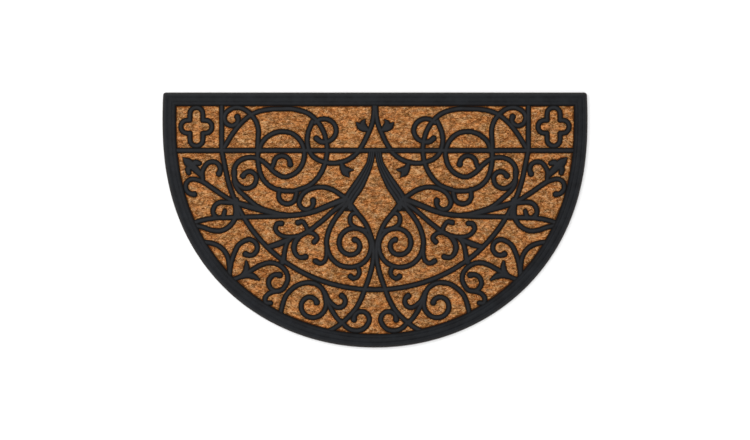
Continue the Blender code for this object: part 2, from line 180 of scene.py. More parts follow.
def black_rubber(name, dust_height, gloss):
    """Satin black rubber: cloudy bloom, painted shade down the sides, scuffed edges with a painted
    highlight, and coir dust low down.
    """
    material, shader, add, join = new_finish(name)
    tree = material.node_tree
    place = add("TexCoord")

    cloud = add("TexNoise", Scale=45.0, Detail=6.0, Roughness=0.75)
    join(place, "Object", cloud, "Vector")
    bloom = add("ValToRGB")
    colour_steps(bloom, [(0.38, (0.0010, 0.0014, 0.0026)), (0.62, (0.0066, 0.0078, 0.0102))])
    join(cloud, "Fac", bloom, "Fac")

    # Painted shade: where the shade attribute is high, the colour is mixed towards a dark
    # brown-black.
    shade = add("Attribute", attribute_name="shade")
    shaded = add("Mix", data_type="RGBA")
    tree.links.new(shade.outputs["Fac"], shaded.inputs[0])
    tree.links.new(bloom.outputs["Color"], shaded.inputs[6])
    shaded.inputs[7].default_value = (0.0020, 0.0012, 0.0007, 1)
    # Painted highlight and scuffing: the rim's outer edge is mixed towards a lighter grey.
    scuff_and_highlight = add("Attribute", attribute_name="scuff_and_highlight")
    scuffed_and_lit = add("Mix", data_type="RGBA")
    tree.links.new(scuff_and_highlight.outputs["Fac"], scuffed_and_lit.inputs[0])
    tree.links.new(shaded.outputs[2], scuffed_and_lit.inputs[6])
    scuffed_and_lit.inputs[7].default_value = (0.034, 0.034, 0.035, 1)

    speck = add("TexNoise", Scale=420.0, Detail=3.0, Roughness=0.7)
    join(place, "Object", speck, "Vector")
    height = add("SeparateXYZ")
    join(place, "Object", height, "Vector")
    low_down = add("MapRange", From_Min=dust_height, From_Max=dust_height - DUST_FADE)
    join(height, "Z", low_down, "Value")
    dusty = add("Math", operation="MULTIPLY")
    join(speck, "Fac", dusty, 0)
    join(low_down, "Result", dusty, 1)
    dusted = add("Mix", data_type="RGBA")
    tree.links.new(dusty.outputs[0], dusted.inputs[0])
    tree.links.new(scuffed_and_lit.outputs[2], dusted.inputs[6])
    dusted.inputs[7].default_value = (0.020, 0.010, 0.004, 1)
    tree.links.new(dusted.outputs[2], shader.inputs["Base Color"])

    satin = add("MapRange", To_Min=0.46, To_Max=0.66)
    join(cloud, "Fac", satin, "Value")
    duller = add("Math", operation="MULTIPLY_ADD")
    join(shade, "Fac", duller, 0)
    duller.inputs[1].default_value = 0.3
    join(satin, "Result", duller, 2)
    join(duller, "Value", shader, "Roughness")

    grain = add("TexNoise", Scale=900.0, Detail=2.0, Roughness=0.5)
    join(place, "Object", grain, "Vector")
    relief = add("Bump", Strength=0.35, Distance=0.12 * MM)
    join(grain, "Fac", relief, "Height")
    join(relief, "Normal", shader, "Normal")
    shader.inputs["Specular IOR Level"].default_value = gloss
    return material


rings = [mat_ring(inset) for inset, _ in RIM_PROFILE]
around = len(rings[0])
tray_points = np.concatenate([
    np.column_stack([ring, np.full(around, height)])
    for ring, (_, height) in zip(rings, RIM_PROFILE)
])
tray_faces = []
for level in range(len(RIM_PROFILE) - 1):
    for i in range(around):
        j = (i + 1) % around
        low, high = level * around, (level + 1) * around
        tray_faces.append((low + i, low + j, high + j, high + i))
last = (len(RIM_PROFILE) - 1) * around
tray_faces.append(tuple(range(around)))
tray_faces.append(tuple(range(last, last + around)))
tray = finished_mesh("rubber_tray", tray_points, tray_faces,
                     black_rubber("tray rubber", 8.2 * MM, 0.14))

# The rim's outer edge is painted a lighter grey, partly scuffing and partly a painted highlight,
# and its inner lip is darkened with painted shade. The profile's first point is under the mat, so
# it stays plain.
SCUFF_AND_HIGHLIGHT_RUN = 5.5
LIP_START, LIP_RUN, LIP_SHADE = 20.5, 2.8, 0.6
insets = np.array([inset for inset, _ in RIM_PROFILE])
# Painted shade: the inner lip, sloping down into the pocket, is darkened.
inner_lip_shade = np.clip((insets - LIP_START) / LIP_RUN, 0, LIP_SHADE)
inner_lip_shade[0] = 0
add_values(tray.data, "shade", np.repeat(inner_lip_shade, around))
add_values(tray.data, "scuff_and_highlight", np.repeat(np.clip(1 - insets / SCUFF_AND_HIGHLIGHT_RUN, 0, 1), around))
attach(tray, "root")
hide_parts("rubber_moulding")

# The scrollwork: rounded rubber bars in the manner of wrought iron, with ball ends to the
# scrolls. They are moulded in one with the rim and lie on the coir.
BAR_WIDTH = 8.8
BAR_FOOT = 6.1
BALL_WIDTH = 11.0
BALL_RUN = 9.0
LINE_STEP = 0.8
LINE_WITHIN = 0.04
STRAIGHT_STEPS = 40
KNOTS_A_TURN = 12

# Half of a bar's section from its foot to its crown: how far in from the bar's edge, on a
# bar of the usual width, and how high.
BAR_SECTION = [(-0.25, BAR_FOOT), (0.0, 7.1), (0.75, 7.75), (1.7, 8.3), (2.9, 8.56)]
BAR_CROWN = 8.6

Curl = namedtuple("Curl", "eye turns end_radius")
Bar = namedtuple("Bar", "name path curl widths", defaults=(None, (BAR_WIDTH, BAR_WIDTH)))

HOOK = (BAR_WIDTH, 8.0, 8.0, 10.0)
LEAF = (8.0, 11.0, 11.0, 5.0)


def oval(centre, radii, first, last, step=30):
    """Knots along an oval, from one angle in degrees to another."""
    count = max(2, round(abs(last - first) / step))
    angles = [radians(first + (last - first) * i / count) for i in range(count + 1)]
    return [(centre[0] + radii[0] * cos(a), centre[1] + radii[1] * sin(a)) for a in angles]


def round_side(inset, first, last, count):
    """Knots along the mat's round side, moved in by inset, from angle to angle."""
    knots = []
    for i in range(count + 1):
        angle = radians(first + (last - first) * i / count)
        knots.append(((MAT_LENGTH / 2 - inset) * abs(cos(angle)) ** (2 / ACROSS_POWER),
                      WIDEST_Y - (ROUND_HEIGHT - inset) * sin(angle) ** (2 / DOWN_POWER)))
    return knots


# The bars on the +X half. A bar runs through the knots of its path, and then turns in
# around its curl's eye. Its widths are spread evenly along it.
FRAME_BARS = [
    Bar("rail", path=[(-10, 122.7), (356, 122.7)]),
    Bar("post", path=[(270.5, 206), (270.5, 122.7)]),
    Bar("inner arch", path=[(270.5, 122.7)] + round_side(102, 20, 90, 10) + [(-10, -122)]),
]
RING_BARS = [
    Bar("great ring", path=oval((146.5, 124.5), (62, 73.5), -95, -180)
        + oval((146.5, 124.5), (62, 71.5), -210, -270)
        + [(165, 196), (183, 195.5), (203, 192), (219, 185), (236, 171), (252, 151), (266, 128)]),
    Bar("ring side", path=[(144, 51), (166, 52), (184, 59), (196, 70), (202.5, 83), (206, 100),
                           (207, 120), (206.3, 142), (205.5, 158), (210, 174), (220, 188)]),
    Bar("corner scroll", path=[(217, 185), (231, 195.5), (246, 198.5), (260, 192)],
        curl=Curl(eye=(251, 178.5), turns=-0.72, end_radius=9)),
    Bar("inner ring", path=[(204, 121), (201, 133), (193, 144), (180, 152.5), (165, 156)]
        + oval((161, 116), (36.5, 40), 115, 270) + [(177, 84), (190, 97), (204, 107),
                                                   (221, 110.5), (238, 105), (247, 94),
                                                   (249, 81), (243.5, 64.5), (228, 55.5),
                                                   (214, 61), (209, 73)],
        curl=Curl(eye=(222, 73), turns=-0.43, end_radius=11.7)),
    Bar("eye scroll", path=[(182, 92), (179, 99)],
        curl=Curl(eye=(163.5, 98.5), turns=0.5, end_radius=14)),
    Bar("loop", path=oval((90, 158), (21.5, 20.5), 42, 285) + [(103.5, 144)],
        widths=(BAR_WIDTH, BAR_WIDTH, BAR_WIDTH, BAR_WIDTH, 10.5)),
    Bar("sweep", path=[(247.5, 86), (247.5, 66), (240.5, 52.5), (231, 43.5), (221, 34.5),
                       (211, 26.5), (201, 20.5), (186, 15.5), (160, 8)]),
    Bar("cup", path=[(168.5, 54), (169.5, 40), (164.5, 31.5), (153.5, 28.5), (143, 33.5),
                     (138, 48)]),
]
CENTRE_BARS = [
    Bar("swan neck", path=[(110, 174), (118.5, 152), (118, 128), (108, 111), (89, 102),
                           (68, 100.5), (48, 106), (32, 118), (20.5, 135), (11, 155),
                           (5, 170), (2.2, 186), (1, 206)]),
    Bar("trunk", path=[(5.3, 120.6), (6.8, 111), (9.3, 100), (18.6, 80), (30, 60), (43, 41),
                       (51, 24)], widths=(12, 12, 16.4, 20.6, 21, 18)),
    Bar("upper branch", path=[(50, 38), (60, 44), (74, 53), (92, 58), (112, 55.5), (126, 47.5),
                              (132.5, 37)],
        curl=Curl(eye=(120.8, 31), turns=-0.62, end_radius=12.3)),
    Bar("long branch", path=[(50, 37), (66, 31.5), (84, 24.5), (105, 16), (130, 10),
                             (165, 7), (205, 6), (250, 4.5), (282, 3.5), (303, 0), (326, -7)],
        widths=(11, BAR_WIDTH, BAR_WIDTH)),
    Bar("short branch", path=[(54, 30), (72, 17), (94, -2), (118, -21)]),
    Bar("great scroll", path=[(47, 33), (58, 18), (70.5, 2), (80.5, -17), (85.5, -40),
                              (79.5, -63), (64, -78.5), (43, -83.3), (22, -76.5), (9.5, -60)],
        curl=Curl(eye=(40, -43), turns=-1.255, end_radius=9.3)),
    Bar("centre stem", path=[(46, 32), (31, 12), (17, -6), (8.5, -25), (3.3, -43), (3.2, -70),
                             (8.6, -95), (16.5, -118), (25, -140), (36.5, -160), (57, -180.5),
                             (71, -190.5), (84, -197)]),
    Bar("fork web", path=[(45, 31), (43, 20)], widths=(12, 10)),
    Bar("teardrop", path=[(28, 9), (35, 12.3), (41.5, 9.5), (44.2, 1), (42, -7.5), (35, -13),
                          (24, -16.5), (14, -19)], widths=(8, 8)),
    Bar("outer hook", path=[(85, -50), (85.3, -62), (89, -72.5), (97, -76.5), (105, -72.5)],
        widths=HOOK),
    Bar("lower hook", path=[(31, -82), (27.5, -92), (31, -100.3), (38, -103), (43.5, -99.5)],
        widths=HOOK),
]
SIDE_BARS = [
    Bar("lens", path=[(326, -8), (303, -13), (288, -18), (271, -18.7), (256.5, -11), (247.5, 2),
                      (244, 18), (246, 34)], widths=(BAR_WIDTH, BAR_WIDTH, BAR_WIDTH, 14)),
    Bar("lens root", path=[(240, 5), (242.5, 22)]),
    Bar("lens scroll", path=[(246, 30), (266, 31.3)],
        curl=Curl(eye=(270, 15), turns=-0.4, end_radius=15)),
    Bar("lens eye", path=[(268, 4), (265, 16)], widths=(10, 8)),
    Bar("side scroll", path=[(148, 8), (175, 11), (200, 17.5), (225, 24.5), (250, 33),
                             (272, 46), (290, 58.5), (305, 68), (318, 72)],
        curl=Curl(eye=(320.5, 59.5), turns=-0.55, end_radius=14.3),
        widths=(BAR_WIDTH, 10, 11.5, BAR_WIDTH, BAR_WIDTH, BAR_WIDTH, BAR_WIDTH)),
    Bar("side hook", path=[(304, 70.5), (304.5, 85), (297, 98.5)],
        curl=Curl(eye=(286, 88.5), turns=0.473, end_radius=12.8)),
]
BAND_BARS = [
    Bar("rim leaf", path=[(312, -38.5), (302, -39), (288, -41), (273, -47.5), (261.5, -61),
                          (257, -80), (257.5, -104)]),
    Bar("rim scroll", path=[(257, -104), (254.5, -80), (248.8, -60), (239.5, -43), (224.5, -34.7)],
        curl=Curl(eye=(221.5, -49.5), turns=0.622, end_radius=12.5)),
    Bar("band scroll", path=[(262, -107.5), (243, -102.5), (228, -95), (214, -86.5),
                             (200, -79), (185.5, -75.2), (171, -78.5), (158, -89.5),
                             (153.7, -104), (160.5, -119.5)],
        curl=Curl(eye=(173, -110.3), turns=0.708, end_radius=14)),
    Bar("rim hook", path=[(172, -125), (185, -128.5), (193.5, -137), (192, -146), (184, -146.5)],
        widths=(BAR_WIDTH, BAR_WIDTH)),
    Bar("low spiral", path=[(167, -172), (165, -157), (156.5, -133), (140, -117), (123, -110.8),
                            (105, -112.5), (92, -123), (87, -140)],
        curl=Curl(eye=(112.3, -150), turns=0.99, end_radius=10.6)),
    Bar("low stem", path=[(86, -140), (80, -152), (75, -161), (68.5, -171), (59, -181.5)]),
    Bar("low hook", path=[(88.5, -128), (81, -143), (72, -151)],
        curl=Curl(eye=(63.5, -143), turns=-0.549, end_radius=10.6)),
    Bar("foot scroll", path=[(59, -179), (48, -190.5), (35, -195.3), (20, -191.8), (10.3, -178)],
        curl=Curl(eye=(25, -175), turns=-0.54, end_radius=12.3)),
]
LEAVES = [
    Bar("neck bud, outer lobe", path=[(12, 158.5), (20, 161.5), (26.5, 165.5), (32.5, 171.5)],
        widths=(7, 12, 13, 3)),
    Bar("neck bud, inner lobe", path=[(14, 160), (20.5, 165.5), (21, 171.5), (17.5, 177)],
        widths=(8, 13, 11, 2.5)),
    Bar("ring bud, outer lobe", path=[(57, 91), (50, 88.5), (38.5, 88.5)], widths=(10, 11, 2.5)),
    Bar("ring bud, inner lobe", path=[(59, 99), (56, 91), (52, 84), (46, 76.5)],
        widths=(8, 12, 14, 3)),
    Bar("lily, middle petal", path=[(305, 78), (312, 85), (321, 94), (328, 100), (333, 104.5),
                                    (338, 109.5)], widths=(10, 10, 12, 17, 15, 3)),
    Bar("lily, upper petal", path=[(322, 96), (316, 101), (310, 100)], widths=(9, 12, 9)),
    Bar("lily, lower petal", path=[(323, 94), (329.5, 90), (328.5, 83)], widths=(9, 11, 9)),
    Bar("spray leaf 1", path=[(118, -20), (121.5, -11), (128, -3), (136, -4.5)], widths=HOOK),
    Bar("spray leaf 2", path=[(118, -21), (107, -25), (102, -32), (107, -38.5)], widths=HOOK),
    Bar("spray scroll", path=[(116, -19), (131, -27), (150, -30), (166, -27), (175.5, -16.5),
                              (172.5, -7), (165, -6)], widths=(10, 8.5, 8, 8, 10)),
    Bar("spray leaf 3", path=[(129, -26), (139, -36), (143, -49), (139, -61), (131, -66.3),
                              (122, -64.8)], widths=(8, 10.5, 9.5, 8, 10)),
    Bar("spray stem", path=[(148, -31), (155, -40), (158.3, -50), (160, -60), (163, -74)],
        widths=(9, 8.5, 8.5, 12)),
    Bar("spray spur", path=[(150, -33), (171, -42.5), (190, -48)], widths=(9, 11.5, 9)),
    Bar("band leaf, upper", path=[(238, -101), (229, -93), (226.3, -84), (227, -73.5)],
        widths=LEAF),
    Bar("band leaf, lower", path=[(238, -101), (227, -97.5), (216, -98.7), (205, -105)],
        widths=LEAF),
]

# The quatrefoil: a cross whose four arms end in half rounds.
QUATREFOIL_CENTRE = (315, 164.5)
QUATREFOIL_ARMS = (16.0, 22.5)
QUATREFOIL_LOBE = 11.5


def quatrefoil_arm(turn, arm):
    """One arm of the cross: out along one side, round the end and back."""
    run = [(QUATREFOIL_LOBE, -QUATREFOIL_LOBE)]
    run += oval((arm, 0), (QUATREFOIL_LOBE, QUATREFOIL_LOBE), -90, 90)
    run += [(QUATREFOIL_LOBE, QUATREFOIL_LOBE)]
    c, s = cos(radians(turn)), sin(radians(turn))
    path = [(QUATREFOIL_CENTRE[0] + x * c - y * s, QUATREFOIL_CENTRE[1] + x * s + y * c)
            for x, y in run]
    return Bar("quatrefoil arm", path)


CORNER_BARS = [quatrefoil_arm(turn, QUATREFOIL_ARMS[turn // 90 % 2]) for turn in (0, 90, 180, 270)]
ALL_BARS = FRAME_BARS + CORNER_BARS + RING_BARS + CENTRE_BARS + SIDE_BARS + BAND_BARS + LEAVES


def curl_knots(start, curl):
    """Knots of the spiral that leads from the path's last knot in to the curl's end."""
    reach = hypot(start[0] - curl.eye[0], start[1] - curl.eye[1])
    angle = atan2(start[1] - curl.eye[1], start[0] - curl.eye[0])
    count = ceil(abs(curl.turns) * KNOTS_A_TURN)
    knots = []
    for i in range(1, count + 1):
        radius = reach + (curl.end_radius - reach) * i / count
        turned = angle + 2 * pi * curl.turns * i / count
        knots.append((curl.eye[0] + radius * cos(turned), curl.eye[1] + radius * sin(turned)))
    return knots


def between(a, b, share):
    """The point at this share of the way from a to b."""
    return tuple(p + (q - p) * share for p, q in zip(a, b))


def smooth_line(knots, spacing=LINE_STEP):
    """Points along a smooth curve through all the knots."""
    if len(knots) == 2:
        return [between(knots[0], knots[1], i / STRAIGHT_STEPS)
                for i in range(STRAIGHT_STEPS + 1)]
    guide = [between(knots[1], knots[0], 2)] + list(knots) + [between(knots[-2], knots[-1], 2)]
    line = []
    for p0, p1, p2, p3 in zip(guide, guide[1:], guide[2:], guide[3:]):
        t1 = hypot(p1[0] - p0[0], p1[1] - p0[1]) ** 0.5
        t2 = t1 + hypot(p2[0] - p1[0], p2[1] - p1[1]) ** 0.5
        t3 = t2 + hypot(p3[0] - p2[0], p3[1] - p2[1]) ** 0.5
        count = max(1, round((t2 - t1) ** 2 / spacing))
        for i in range(count):
            t = t1 + (t2 - t1) * i / count
            a1 = between(p0, p1, t / t1)
            a2 = between(p1, p2, (t - t1) / (t2 - t1))
            a3 = between(p2, p3, (t - t2) / (t3 - t2))
            b1 = between(a1, a2, t / t2)
            b2 = between(a2, a3, (t - t1) / (t3 - t1))
            line.append(between(b1, b2, (t - t1) / (t2 - t1)))
    line.append(knots[-1])
    return line


def thinned(line, tolerance):
    """The fewest of the line's points that keep it within the tolerance."""
    if len(line) < 3:
        return line
    (x0, y0), (x1, y1) = line[0][:2], line[-1][:2]
    run = hypot(x1 - x0, y1 - y0)
    worst, at = 0.0, 0
    for i in range(1, len(line) - 1):
        x, y = line[i][:2]
        if run:
            off = abs((x1 - x0) * (y - y0) - (y1 - y0) * (x - x0)) / run
        else:
            off = hypot(x - x0, y - y0)
        if off > worst:
            worst, at = off, i
    if worst <= tolerance:
        return [line[0], line[-1]]
    return thinned(line[:at + 1], tolerance)[:-1] + thinned(line[at:], tolerance)


def bar_rows(bar):
    """The bar's centre line as (x, y, half width) rows, with a ball at a curl's end."""
    knots = list(bar.path)
    if bar.curl:
        knots += curl_knots(knots[-1], bar.curl)
    line = smooth_line(knots)
    lengths = [0.0]
    for a, b in zip(line, line[1:]):
        lengths.append(lengths[-1] + hypot(b[0] - a[0], b[1] - a[1]))
    rows = []
    for (x, y), along in zip(line, lengths):
        place = along / lengths[-1] * (len(bar.widths) - 1)
        step = min(int(place), len(bar.widths) - 2)
        width = bar.widths[step] + (bar.widths[step + 1] - bar.widths[step]) * (place - step)
        if bar.curl:
            near_end = max(0.0, 1 - (lengths[-1] - along) / BALL_RUN)
            width += (BALL_WIDTH - width) * near_end ** 2
        rows.append((x, y, width / 2))
    return thinned(rows, LINE_WITHIN)


END_SIDES = 8


def bar_shell(rows, drop=0.0):
    """Points and faces of one bar with two round ends, its crown lowered by the drop."""
    points, faces = [], []
    count = len(BAR_SECTION)
    crown = BAR_CROWN - drop
    slope = (crown - BAR_FOOT) / (BAR_CROWN - BAR_FOOT)

    def column(x, y, half, nx, ny):
        start = len(points)
        for inset, height in BAR_SECTION:
            out = half - inset * min(1.0, half / (BAR_WIDTH / 2))
            points.append((x + nx * out, y + ny * out, BAR_FOOT + (height - BAR_FOOT) * slope))
        return list(range(start, start + count))

    stations = []
    for i, (x, y, half) in enumerate(rows):
        x0, y0 = rows[max(i - 1, 0)][:2]
        x1, y1 = rows[min(i + 1, len(rows) - 1)][:2]
        run = hypot(x1 - x0, y1 - y0)
        nx, ny = (y0 - y1) / run, (x1 - x0) / run
        left = column(x, y, half, nx, ny)
        right = column(x, y, half, -nx, -ny)
        points.append((x, y, crown))
        stations.append((left, right, len(points) - 1, atan2(ny, nx)))

    for (l0, r0, c0, _), (l1, r1, c1, _) in zip(stations, stations[1:]):
        for k in range(count - 1):
            faces.append((l0[k], l0[k + 1], l1[k + 1], l1[k]))
            faces.append((r1[k], r1[k + 1], r0[k + 1], r0[k]))
        faces.append((l0[-1], c0, c1, l1[-1]))
        faces.append((r1[-1], c1, c0, r0[-1]))
        faces.append((l1[0], r1[0], r0[0], l0[0]))

    def round_end(row, first, last, angle):
        fan = [first]
        for k in range(1, END_SIDES):
            turned = angle + pi * k / END_SIDES
            fan.append(column(*row, cos(turned), sin(turned)))
        fan.append(last)
        for a, b in zip(fan, fan[1:]):
            for k in range(count - 1):
                faces.append((a[k], b[k], b[k + 1], a[k + 1]))
            faces.append((a[-1], b[-1], crown_of[first[0]]))
        faces.append(tuple(side[0] for side in reversed(fan)))

    crown_of = {side[0]: station[2] for station in stations for side in station[:2]}
    left, right, _, angle = stations[0]
    round_end(rows[0], left, right, angle)
    left, right, _, angle = stations[-1]
    round_end(rows[-1], right, left, angle + pi)
    return points, faces


# The trunk's web is narrower and lower than its ribs. A rib's share is of the bar's width.
WEB_INSET = 0.5
WEB_DROP = 0.5
RIB_SHARE = 0.42


def trunk_shells(rows):
    """The trunk: a low web, and on it three ribs side by side that fill its width."""
    shells = [bar_shell([(x, y, half - WEB_INSET) for x, y, half in rows], WEB_DROP)]
    for side in (-1, 0, 1):
        rib = []
        for i, (x, y, half) in enumerate(rows):
            x0, y0 = rows[max(i - 1, 0)][:2]
            x1, y1 = rows[min(i + 1, len(rows) - 1)][:2]
            aside = side * half * (1 - RIB_SHARE) / hypot(x1 - x0, y1 - y0)
            rib.append((x + (y0 - y1) * aside, y + (x1 - x0) * aside, half * RIB_SHARE))
        shells.append(bar_shell(rib))
    return shells


half_rows = [bar_rows(bar) for bar in ALL_BARS]
bars_to_join = bpy.data.collections.new("bars to join")
bpy.context.scene.collection.children.link(bars_to_join)
for bar, rows in zip(ALL_BARS, half_rows):
    for points, faces in trunk_shells(rows) if bar.name == "trunk" else [bar_shell(rows)]:
        for side in (1, -1):
            mesh = bpy.data.meshes.new(bar.name)
            mesh.from_pydata([(side * x * MM, y * MM, z * MM) for x, y, z in points], [],
                             faces if side > 0 else [face[::-1] for face in faces])
            bars_to_join.objects.link(bpy.data.objects.new(bar.name, mesh))

# All the bars are joined into one body, as the mould casts them.
first_bar = bars_to_join.objects[0]
bars_to_join.objects.unlink(first_bar)
bpy.context.scene.collection.objects.link(first_bar)
casting = first_bar.modifiers.new("cast as one", "BOOLEAN")
casting.operation = "UNION"
casting.solver = "MANIFOLD"
casting.operand_type = "COLLECTION"
casting.collection = bars_to_join
cast = bpy.data.meshes.new_from_object(
    first_bar.evaluated_get(bpy.context.evaluated_depsgraph_get()))
cast_points = [tuple(v.co / MM) for v in cast.vertices]
cast_faces = [tuple(p.vertices) for p in cast.polygons]
for thing in [first_bar] + list(bars_to_join.objects):
    bpy.data.objects.remove(thing)
bpy.data.collections.remove(bars_to_join)
scrollwork = finished_mesh("rubber_scrollwork", cast_points, cast_faces,
                           black_rubber("scrollwork rubber", 7.6 * MM, 0.18), sharp_over=28)
# Painted shade: the bars' sides are darkened from just under the crown down.
CROWN_EDGE, SIDE_FADE = 0.06, 0.4
bar_heights = np.array([point[2] for point in cast_points])
side_shade = np.clip((BAR_CROWN - CROWN_EDGE - bar_heights) / SIDE_FADE, 0, 1)
add_values(scrollwork.data, "shade", side_shade)
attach(scrollwork, "root")
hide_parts("rubber_moulding")

# The coir panel: golden-brown coconut fibre, packed into the pocket before the bars are
# moulded over it. It swells up in each opening and is pressed flat under the bars.
PILE_FOOT = 2.3
PILE_PRESSED = 5.75
PILE_SWELL = 1.2
SWELL_START, SWELL_RUN = 0.1, 2.6
PILE_EDGE = 23.85

# The pile's heights are worked out on a level field of points, and its net of faces takes
# every second one.
FIELD_STEP = 1.0
PILE_STEP = 2

field_x = np.arange(-352.0, 352.5, FIELD_STEP)
field_y = np.arange(-202.0, 202.5, FIELD_STEP)


def clear_of_bars(reach=8.0):
    """How far each point of the field lies outside the nearest bar, in millimetres."""
    clear = np.full((len(field_y), len(field_x)), reach)
    for rows in half_rows:
        for (x0, y0, h0), (x1, y1, h1) in zip(rows, rows[1:]):
            margin = max(h0, h1) + reach
            i0, i1 = np.searchsorted(field_x, (min(x0, x1) - margin, max(x0, x1) + margin))
            j0, j1 = np.searchsorted(field_y, (min(y0, y1) - margin, max(y0, y1) + margin))
            across, along = np.meshgrid(field_x[i0:i1] - x0, field_y[j0:j1] - y0)
            dx, dy = x1 - x0, y1 - y0
            share = np.clip((across * dx + along * dy) / (dx * dx + dy * dy), 0, 1)
            gap = np.hypot(across - share * dx, along - share * dy) - (h0 + share * (h1 - h0))
            window = clear[j0:j1, i0:i1]
            np.minimum(window, gap, out=window)
    return np.minimum(clear, clear[:, ::-1])


SETTLE_TRIES = 30
SETTLE_POWER = 0.45


def how_far_out(x, y):
    """Where points lie between the oval's middle, 0, and the pocket's round edge, 1.

    The oval's two powers differ, so the share is found by settling towards it.
    """
    across = np.maximum(np.abs(x) / (MAT_LENGTH / 2 - PILE_EDGE), 0.0001)
    down = np.abs(y - WIDEST_Y) / (ROUND_HEIGHT - PILE_EDGE)
    out = np.maximum(across, down)
    for _ in range(SETTLE_TRIES):
        reached = (across / out) ** ACROSS_POWER + (down / out) ** DOWN_POWER
        out = out * reached ** SETTLE_POWER
    return out


def clear_of_rim():
    """How far each point of the field lies inside the pocket's edge, in millimetres."""
    x, y = np.meshgrid(field_x, field_y)
    inside = (1 - how_far_out(x, y)) * (MAT_LENGTH / 2 - PILE_EDGE)
    return np.minimum(inside, MAT_WIDTH / 2 - PILE_EDGE - y)


chance = np.random.default_rng(1947)


def soft_noise(across, along):
    """Even random unevenness over the field, blurred by this much each way, its spread 1."""
    rough = np.fft.fft2(chance.standard_normal((len(field_y), len(field_x))))
    fy = np.fft.fftfreq(len(field_y), FIELD_STEP)[:, None]
    fx = np.fft.fftfreq(len(field_x), FIELD_STEP)[None, :]
    blur = np.exp(-2 * pi ** 2 * ((fx * across) ** 2 + (fy * along) ** 2))
    soft = np.fft.ifft2(rough * blur).real
    return soft / soft.std()


# Along the rim the coir is held down over an uneven strip, so its edge there is ragged, and so is
# the painted contact shade there.
held_down_and_shaded = np.clip(0.9 + 0.8 * soft_noise(2.6, 2.6), 0, 2.4)
clear = np.minimum(clear_of_bars(), clear_of_rim() - held_down_and_shaded)
swell = np.clip((clear - SWELL_START) / SWELL_RUN, 0, 1)
swell = swell * swell * (3 - 2 * swell)
tufts = np.clip(0.22 * soft_noise(3.2, 1.6) + 0.16 * soft_noise(1.3, 0.9), -0.7, 0.7)
pile_height = PILE_PRESSED + swell * (PILE_SWELL + tufts)

# A regular net of faces, its outermost points drawn in to the pocket's edge.
net_x, net_y = np.meshgrid(field_x[::PILE_STEP], field_y[::PILE_STEP])
net_z = pile_height[::PILE_STEP, ::PILE_STEP]
net_y = np.minimum(net_y, MAT_WIDTH / 2 - PILE_EDGE)
net_out = how_far_out(net_x, net_y)
within = net_out < 1
draw_in = np.where(within, 1, 1 / np.maximum(net_out, 1))
net_x = net_x * draw_in
net_y = WIDEST_Y + (net_y - WIDEST_Y) * draw_in
corners = [np.s_[:-1, :-1], np.s_[:-1, 1:], np.s_[1:, 1:], np.s_[1:, :-1]]
numbers = np.arange(net_x.size).reshape(net_x.shape)
kept = np.add.reduce([within[c].astype(int) for c in corners]) >= 1
pile_faces = np.column_stack([numbers[c][kept] for c in corners])
used, pile_faces = np.unique(pile_faces, return_inverse=True)
pile_points = np.column_stack([net_x.ravel(), net_y.ravel(), net_z.ravel()])[used]
pile_faces = pile_faces.reshape(-1, 4)


